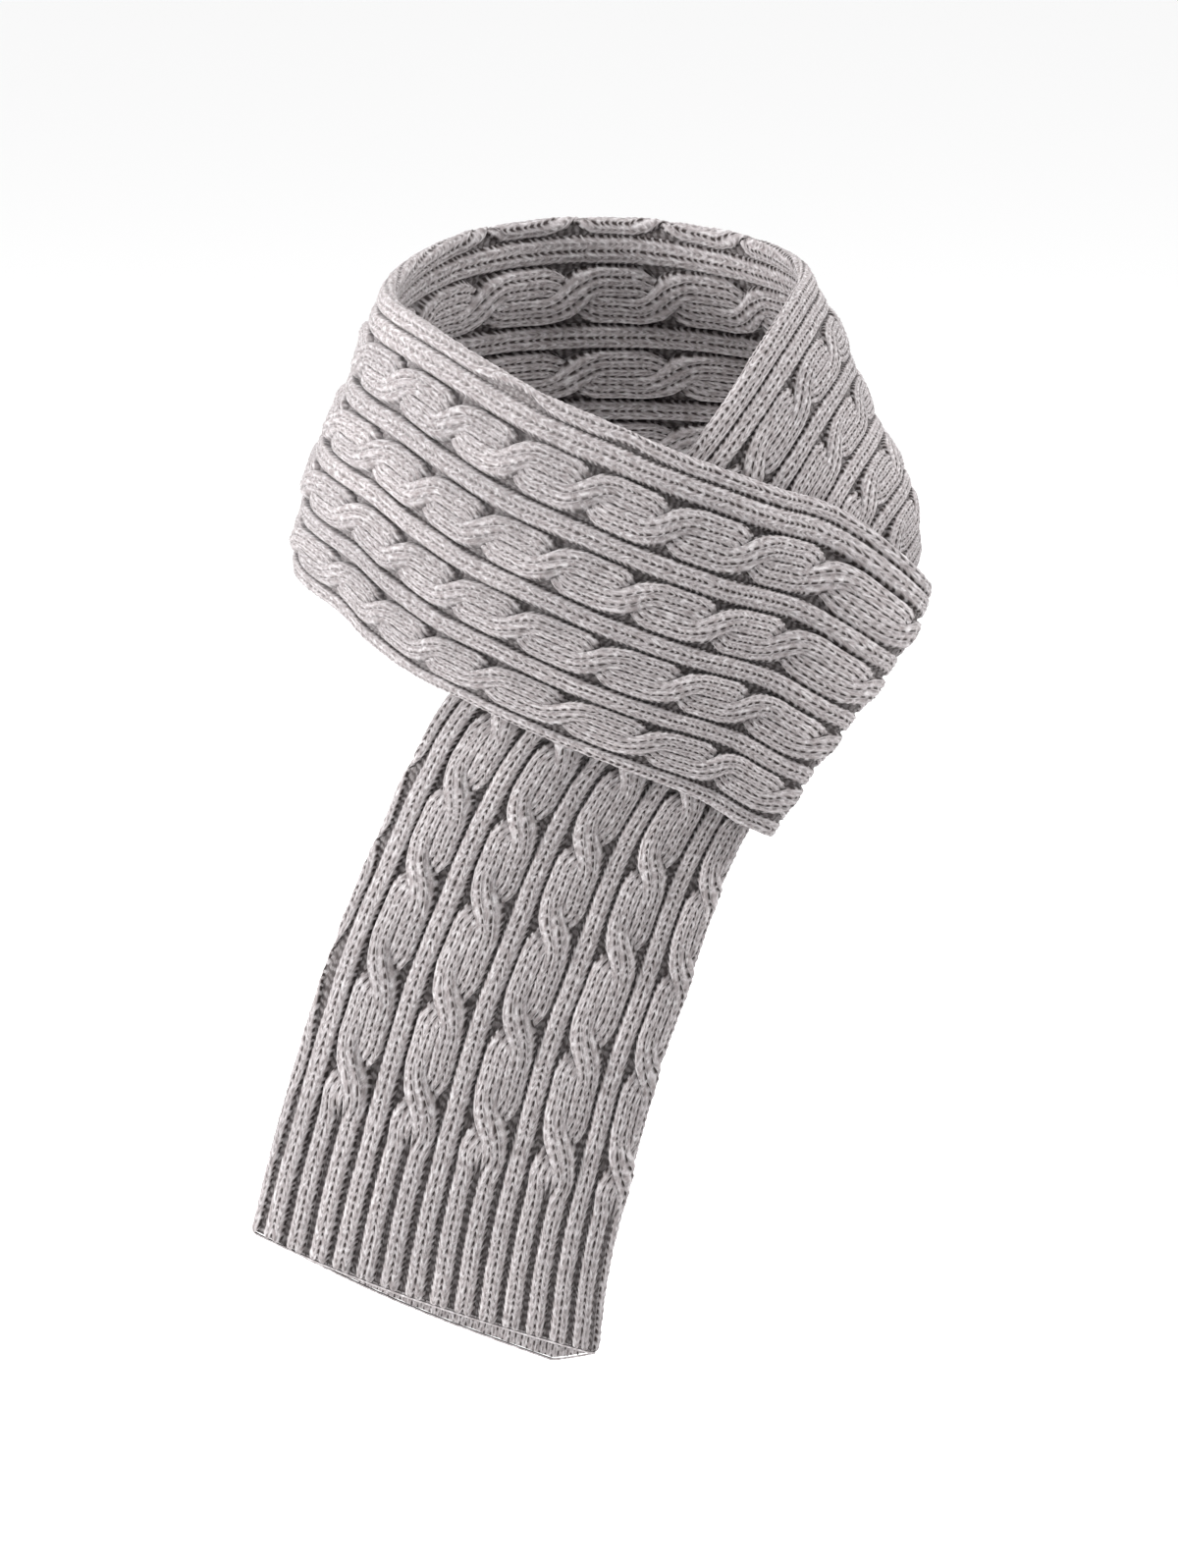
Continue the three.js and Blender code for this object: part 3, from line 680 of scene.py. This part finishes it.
def yarn_material(name, is_purl):
    """Marled yarn in knit stitches, or in the bars of the purl ground, with shade painted into the gaps
    between them.
    """
    shader = Shader(name)
    shader.put(shader.surface.inputs["Roughness"], ROUGHNESS)
    shader.put(shader.surface.inputs["Specular IOR Level"], SPECULAR)
    shader.put(shader.surface.inputs["Sheen Weight"], SHEEN)
    shader.put(shader.surface.inputs["Sheen Roughness"], SHEEN_ROUGHNESS)
    attribute = shader.nodes.new("ShaderNodeAttribute")
    attribute.attribute_name = "stitch_place"
    exact = attribute.outputs["Vector"]
    shift = shader.noise(exact, 1.0, 2.0, 0.6, STRAY_NOISE)
    stray_by = shader.nodes.new("ShaderNodeCombineXYZ")
    shader.put(stray_by.inputs[0], shader.span(shift, -STRAY_ACROSS / 2, STRAY_ACROSS / 2))
    shader.put(stray_by.inputs[1], shader.span(shift, -STRAY_ALONG / 2, STRAY_ALONG / 2))
    moved = shader.nodes.new("ShaderNodeVectorMath")
    shader.put(moved.inputs[0], exact)
    shader.put(moved.inputs[1], stray_by.outputs[0])
    place = moved.outputs[0]
    coords = shader.nodes.new("ShaderNodeTexCoord").outputs["Object"]
    split = shader.nodes.new("ShaderNodeSeparateXYZ")
    shader.links.new(place, split.inputs[0])

    # Marl: flecks shorter than a stitch, and a slow change from ball to ball of yarn
    flecks = shader.noise(place, 1.0, 3.0, 0.65, FLECK_NOISE)
    marl = shader.ramp(flecks, MARL)
    slow = shader.noise(place, 1.0, 1.0, 0.5, SLOW_NOISE)
    fibres = shader.noise(coords, FIBRE_SCALE, 2.0, 0.6)
    colour = shader.mix(1.0, marl, shader.ramp(slow, SLOW_TONE), "MULTIPLY")
    colour = shader.mix(1.0, colour, shader.ramp(fibres, FIBRE_TONE), "MULTIPLY")

    # How near a point is to a wale's edge or middle, and to the next row
    from_row = shader.math("PINGPONG", split.outputs[1], 0.5)
    to_row = shader.math("SUBTRACT", 1.0, shader.math("MULTIPLY", from_row, 2.0))
    # Painted shade: how dark the gaps between bars or between stitches are painted, where shade falls
    if is_purl:
        gap_shade = shader.span(shader.step(to_row, *PURL_OPENS), *PURL_LEVELS)
    else:
        from_edge = shader.math("PINGPONG", split.outputs[0], 0.5)
        to_edge = shader.math("SUBTRACT", 1.0, shader.math("MULTIPLY", from_edge, 2.0))
        to_middle = shader.math("SUBTRACT", 1.0, to_edge)
        off_row = shader.math("SUBTRACT", 1.0, to_row)
        edge_hole_shade = shader.span(shader.step(to_row, *EDGE_ROWS), *EDGE_LEVELS)
        beside = shader.math("MULTIPLY", shader.step(to_edge, *EDGE_OPENS), edge_hole_shade)
        between = shader.math("MULTIPLY", shader.step(to_row, *ROW_OPENS), ROW_LEVEL)
        middle_hole_shade = shader.span(shader.step(off_row, *MIDDLE_ROWS), *MIDDLE_LEVELS)
        centre = shader.math("MULTIPLY", shader.step(to_middle, *MIDDLE_OPENS), middle_hole_shade)
        gap_shade = shader.math("MAXIMUM", beside, shader.math("MAXIMUM", between, centre))
    row = split.outputs[1]
    # Painted light: the gaps' painted shade is lighter on the left side, which faces the key light
    lit_side = shader.math("SUBTRACT", shader.step(row, *LIT_SIDE_FROM), shader.step(row, *LIT_SIDE_TO))
    gap_shade = shader.math("MULTIPLY", gap_shade, shader.span(lit_side, 1.0, 1.0 - LIT_SIDE_LIGHTENS))
    # The painted shade is laid over the yarn's colour
    colour = shader.mix(gap_shade, colour, PAINTED_GAP_SHADE)
    shader.links.new(colour, shader.surface.inputs["Base Color"])

    # Twisted plies along each leg, with short fibres over them
    plies = shader.noise(place, 1.0, 2.0, 0.5, PLY_NOISE)
    fibre_normal = shader.bump(fibres, BUMP_STRENGTH, FIBRE_DEPTH)
    normal = shader.bump(plies, BUMP_STRENGTH, PLY_DEPTH, fibre_normal)
    shader.links.new(normal, shader.surface.inputs["Normal"])
    return shader.material


def stretch_length(start, end):
    """Metres along the cloth's middle."""
    cable = np.linspace(start, end, LENGTH_SAMPLES)
    points = middle(cable, np.full_like(cable, 0.5))
    return float(np.linalg.norm(np.diff(points, axis=0), axis=-1).sum()) * MM


knit_yarn = yarn_material("marled_yarn", False)
purl_yarn = yarn_material("marled_yarn_purl", True)
for node, start, end in STRETCHES:
    places = row_places(start, end)
    ground = Cloth()
    cable, around, raised = ground_sheet(places)
    rows = places[:, None] / ROWS_PER_STITCH
    ground.add(section(cable, around, raised), around * BARS_IN_REPEAT, rows, closed=True)
    sheet = ground.build(node + "_ground", purl_yarn)
    wales = Cloth()
    for repeat in range(REPEATS):
        strands = [strand_strip(places, repeat, which) for which in (-1, 1)]
        for cable, around, raised, wale_place, row_place in [rib_strip(places, repeat), *strands]:
            wales.add(section(cable, around, raised), wale_place, row_place)
    if node == "tail":
        wales.add(*lining(places[:LINING_ROWS, None]), closed=True, flip=True)
        wales.add(*hem_lip(), closed=True, flip=True)
    stitches = wales.build(node + "_wales", knit_yarn)
    for piece in (sheet, stitches):
        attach(piece, "root")
        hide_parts(node)
    stretch_length(start, end)

# Camera: long lens at the photograph's height
SCALE = 0.463  # mm for each pixel of the 1200 x 1597 frame, at the target
DISTANCE = 3500.0
ELEVATION = math.radians(10)
FRAME_WIDTH = 1200
SENSOR_WIDTH = 36
FARTHEST = 50  # metres
TARGET = np.array([-2.3, -60.0, -235.5])
camera_data = bpy.data.cameras.new("camera")
camera_data.sensor_fit = "HORIZONTAL"
camera_data.sensor_width = SENSOR_WIDTH
camera_data.lens = SENSOR_WIDTH * DISTANCE / SCALE / FRAME_WIDTH
camera_data.clip_end = FARTHEST
camera = bpy.data.objects.new("camera", camera_data)
back_off = DISTANCE * np.array([0, -math.cos(ELEVATION), math.sin(ELEVATION)])
camera.location = (TARGET + back_off) * MM
camera.rotation_euler = (math.pi / 2 - ELEVATION, 0, 0)
bpy.context.scene.collection.objects.link(camera)
bpy.context.scene.camera = camera

# Studio lights, in metres
LIGHTS = [
    # name, place, target, size, watts
    ("key", (-2.5, -0.8, 0.35), (0, 0, -0.22), 0.7, 102),
    ("fill", (2.0, -0.1, 1.1), (0, 0, -0.1), 1.0, 54),
    ("top", (-0.3, -0.8, 2.4), (0, 0, -0.1), 0.3, 45),
]
for name, place, target, size, watts in LIGHTS:
    data = bpy.data.lights.new(name, "AREA")
    data.shape = "DISK"
    data.size = size
    data.energy = watts
    light = bpy.data.objects.new(name, data)
    light.location = place
    aim = np.array(target) - np.array(place)
    light.rotation_euler = (
        math.atan2(math.hypot(aim[0], aim[1]), -aim[2]), 0, math.atan2(aim[0], -aim[1]) + math.pi)
    bpy.context.scene.collection.objects.link(light)

# Soft light from all round, brighter overhead
SKY_LEVEL, SKY_TOP = 0.35, 1.0
world = bpy.data.worlds.new("studio")
world.use_nodes = True
sky = world.node_tree
background = sky.nodes["Background"]
background.inputs["Color"].default_value = (1, 1, 1, 1)
direction = sky.nodes.new("ShaderNodeTexCoord")
height = sky.nodes.new("ShaderNodeSeparateXYZ")
level = sky.nodes.new("ShaderNodeMapRange")
level.inputs["To Min"].default_value = SKY_LEVEL
level.inputs["To Max"].default_value = SKY_LEVEL + SKY_TOP
sky.links.new(direction.outputs["Generated"], height.inputs[0])
sky.links.new(height.outputs["Z"], level.inputs["Value"])
sky.links.new(level.outputs["Result"], background.inputs["Strength"])
bpy.context.scene.world = world
bpy.context.scene.view_settings.view_transform = "Standard"

# A pale floor well below the hem, in metres
FLOOR_Z, FLOOR_REACH = -0.56, 14.0
FLOOR_TONE, FLOOR_ROUGHNESS = 0.93, 0.9
floor_mesh = bpy.data.meshes.new("floor")
corners = [(x * FLOOR_REACH, y * FLOOR_REACH, FLOOR_Z) for x, y in ((-1, -1), (1, -1), (1, 1), (-1, 1))]
floor_mesh.from_pydata(corners, [], [(0, 1, 2, 3)])
floor_material = bpy.data.materials.new("floor")
floor_material.use_nodes = True
floor_shader = floor_material.node_tree.nodes["Principled BSDF"]
floor_shader.inputs["Base Color"].default_value = (FLOOR_TONE, FLOOR_TONE, FLOOR_TONE, 1)
floor_shader.inputs["Roughness"].default_value = FLOOR_ROUGHNESS
floor_mesh.materials.append(floor_material)
floor = bpy.data.objects.new("floor", floor_mesh)
bpy.context.scene.collection.objects.link(floor)
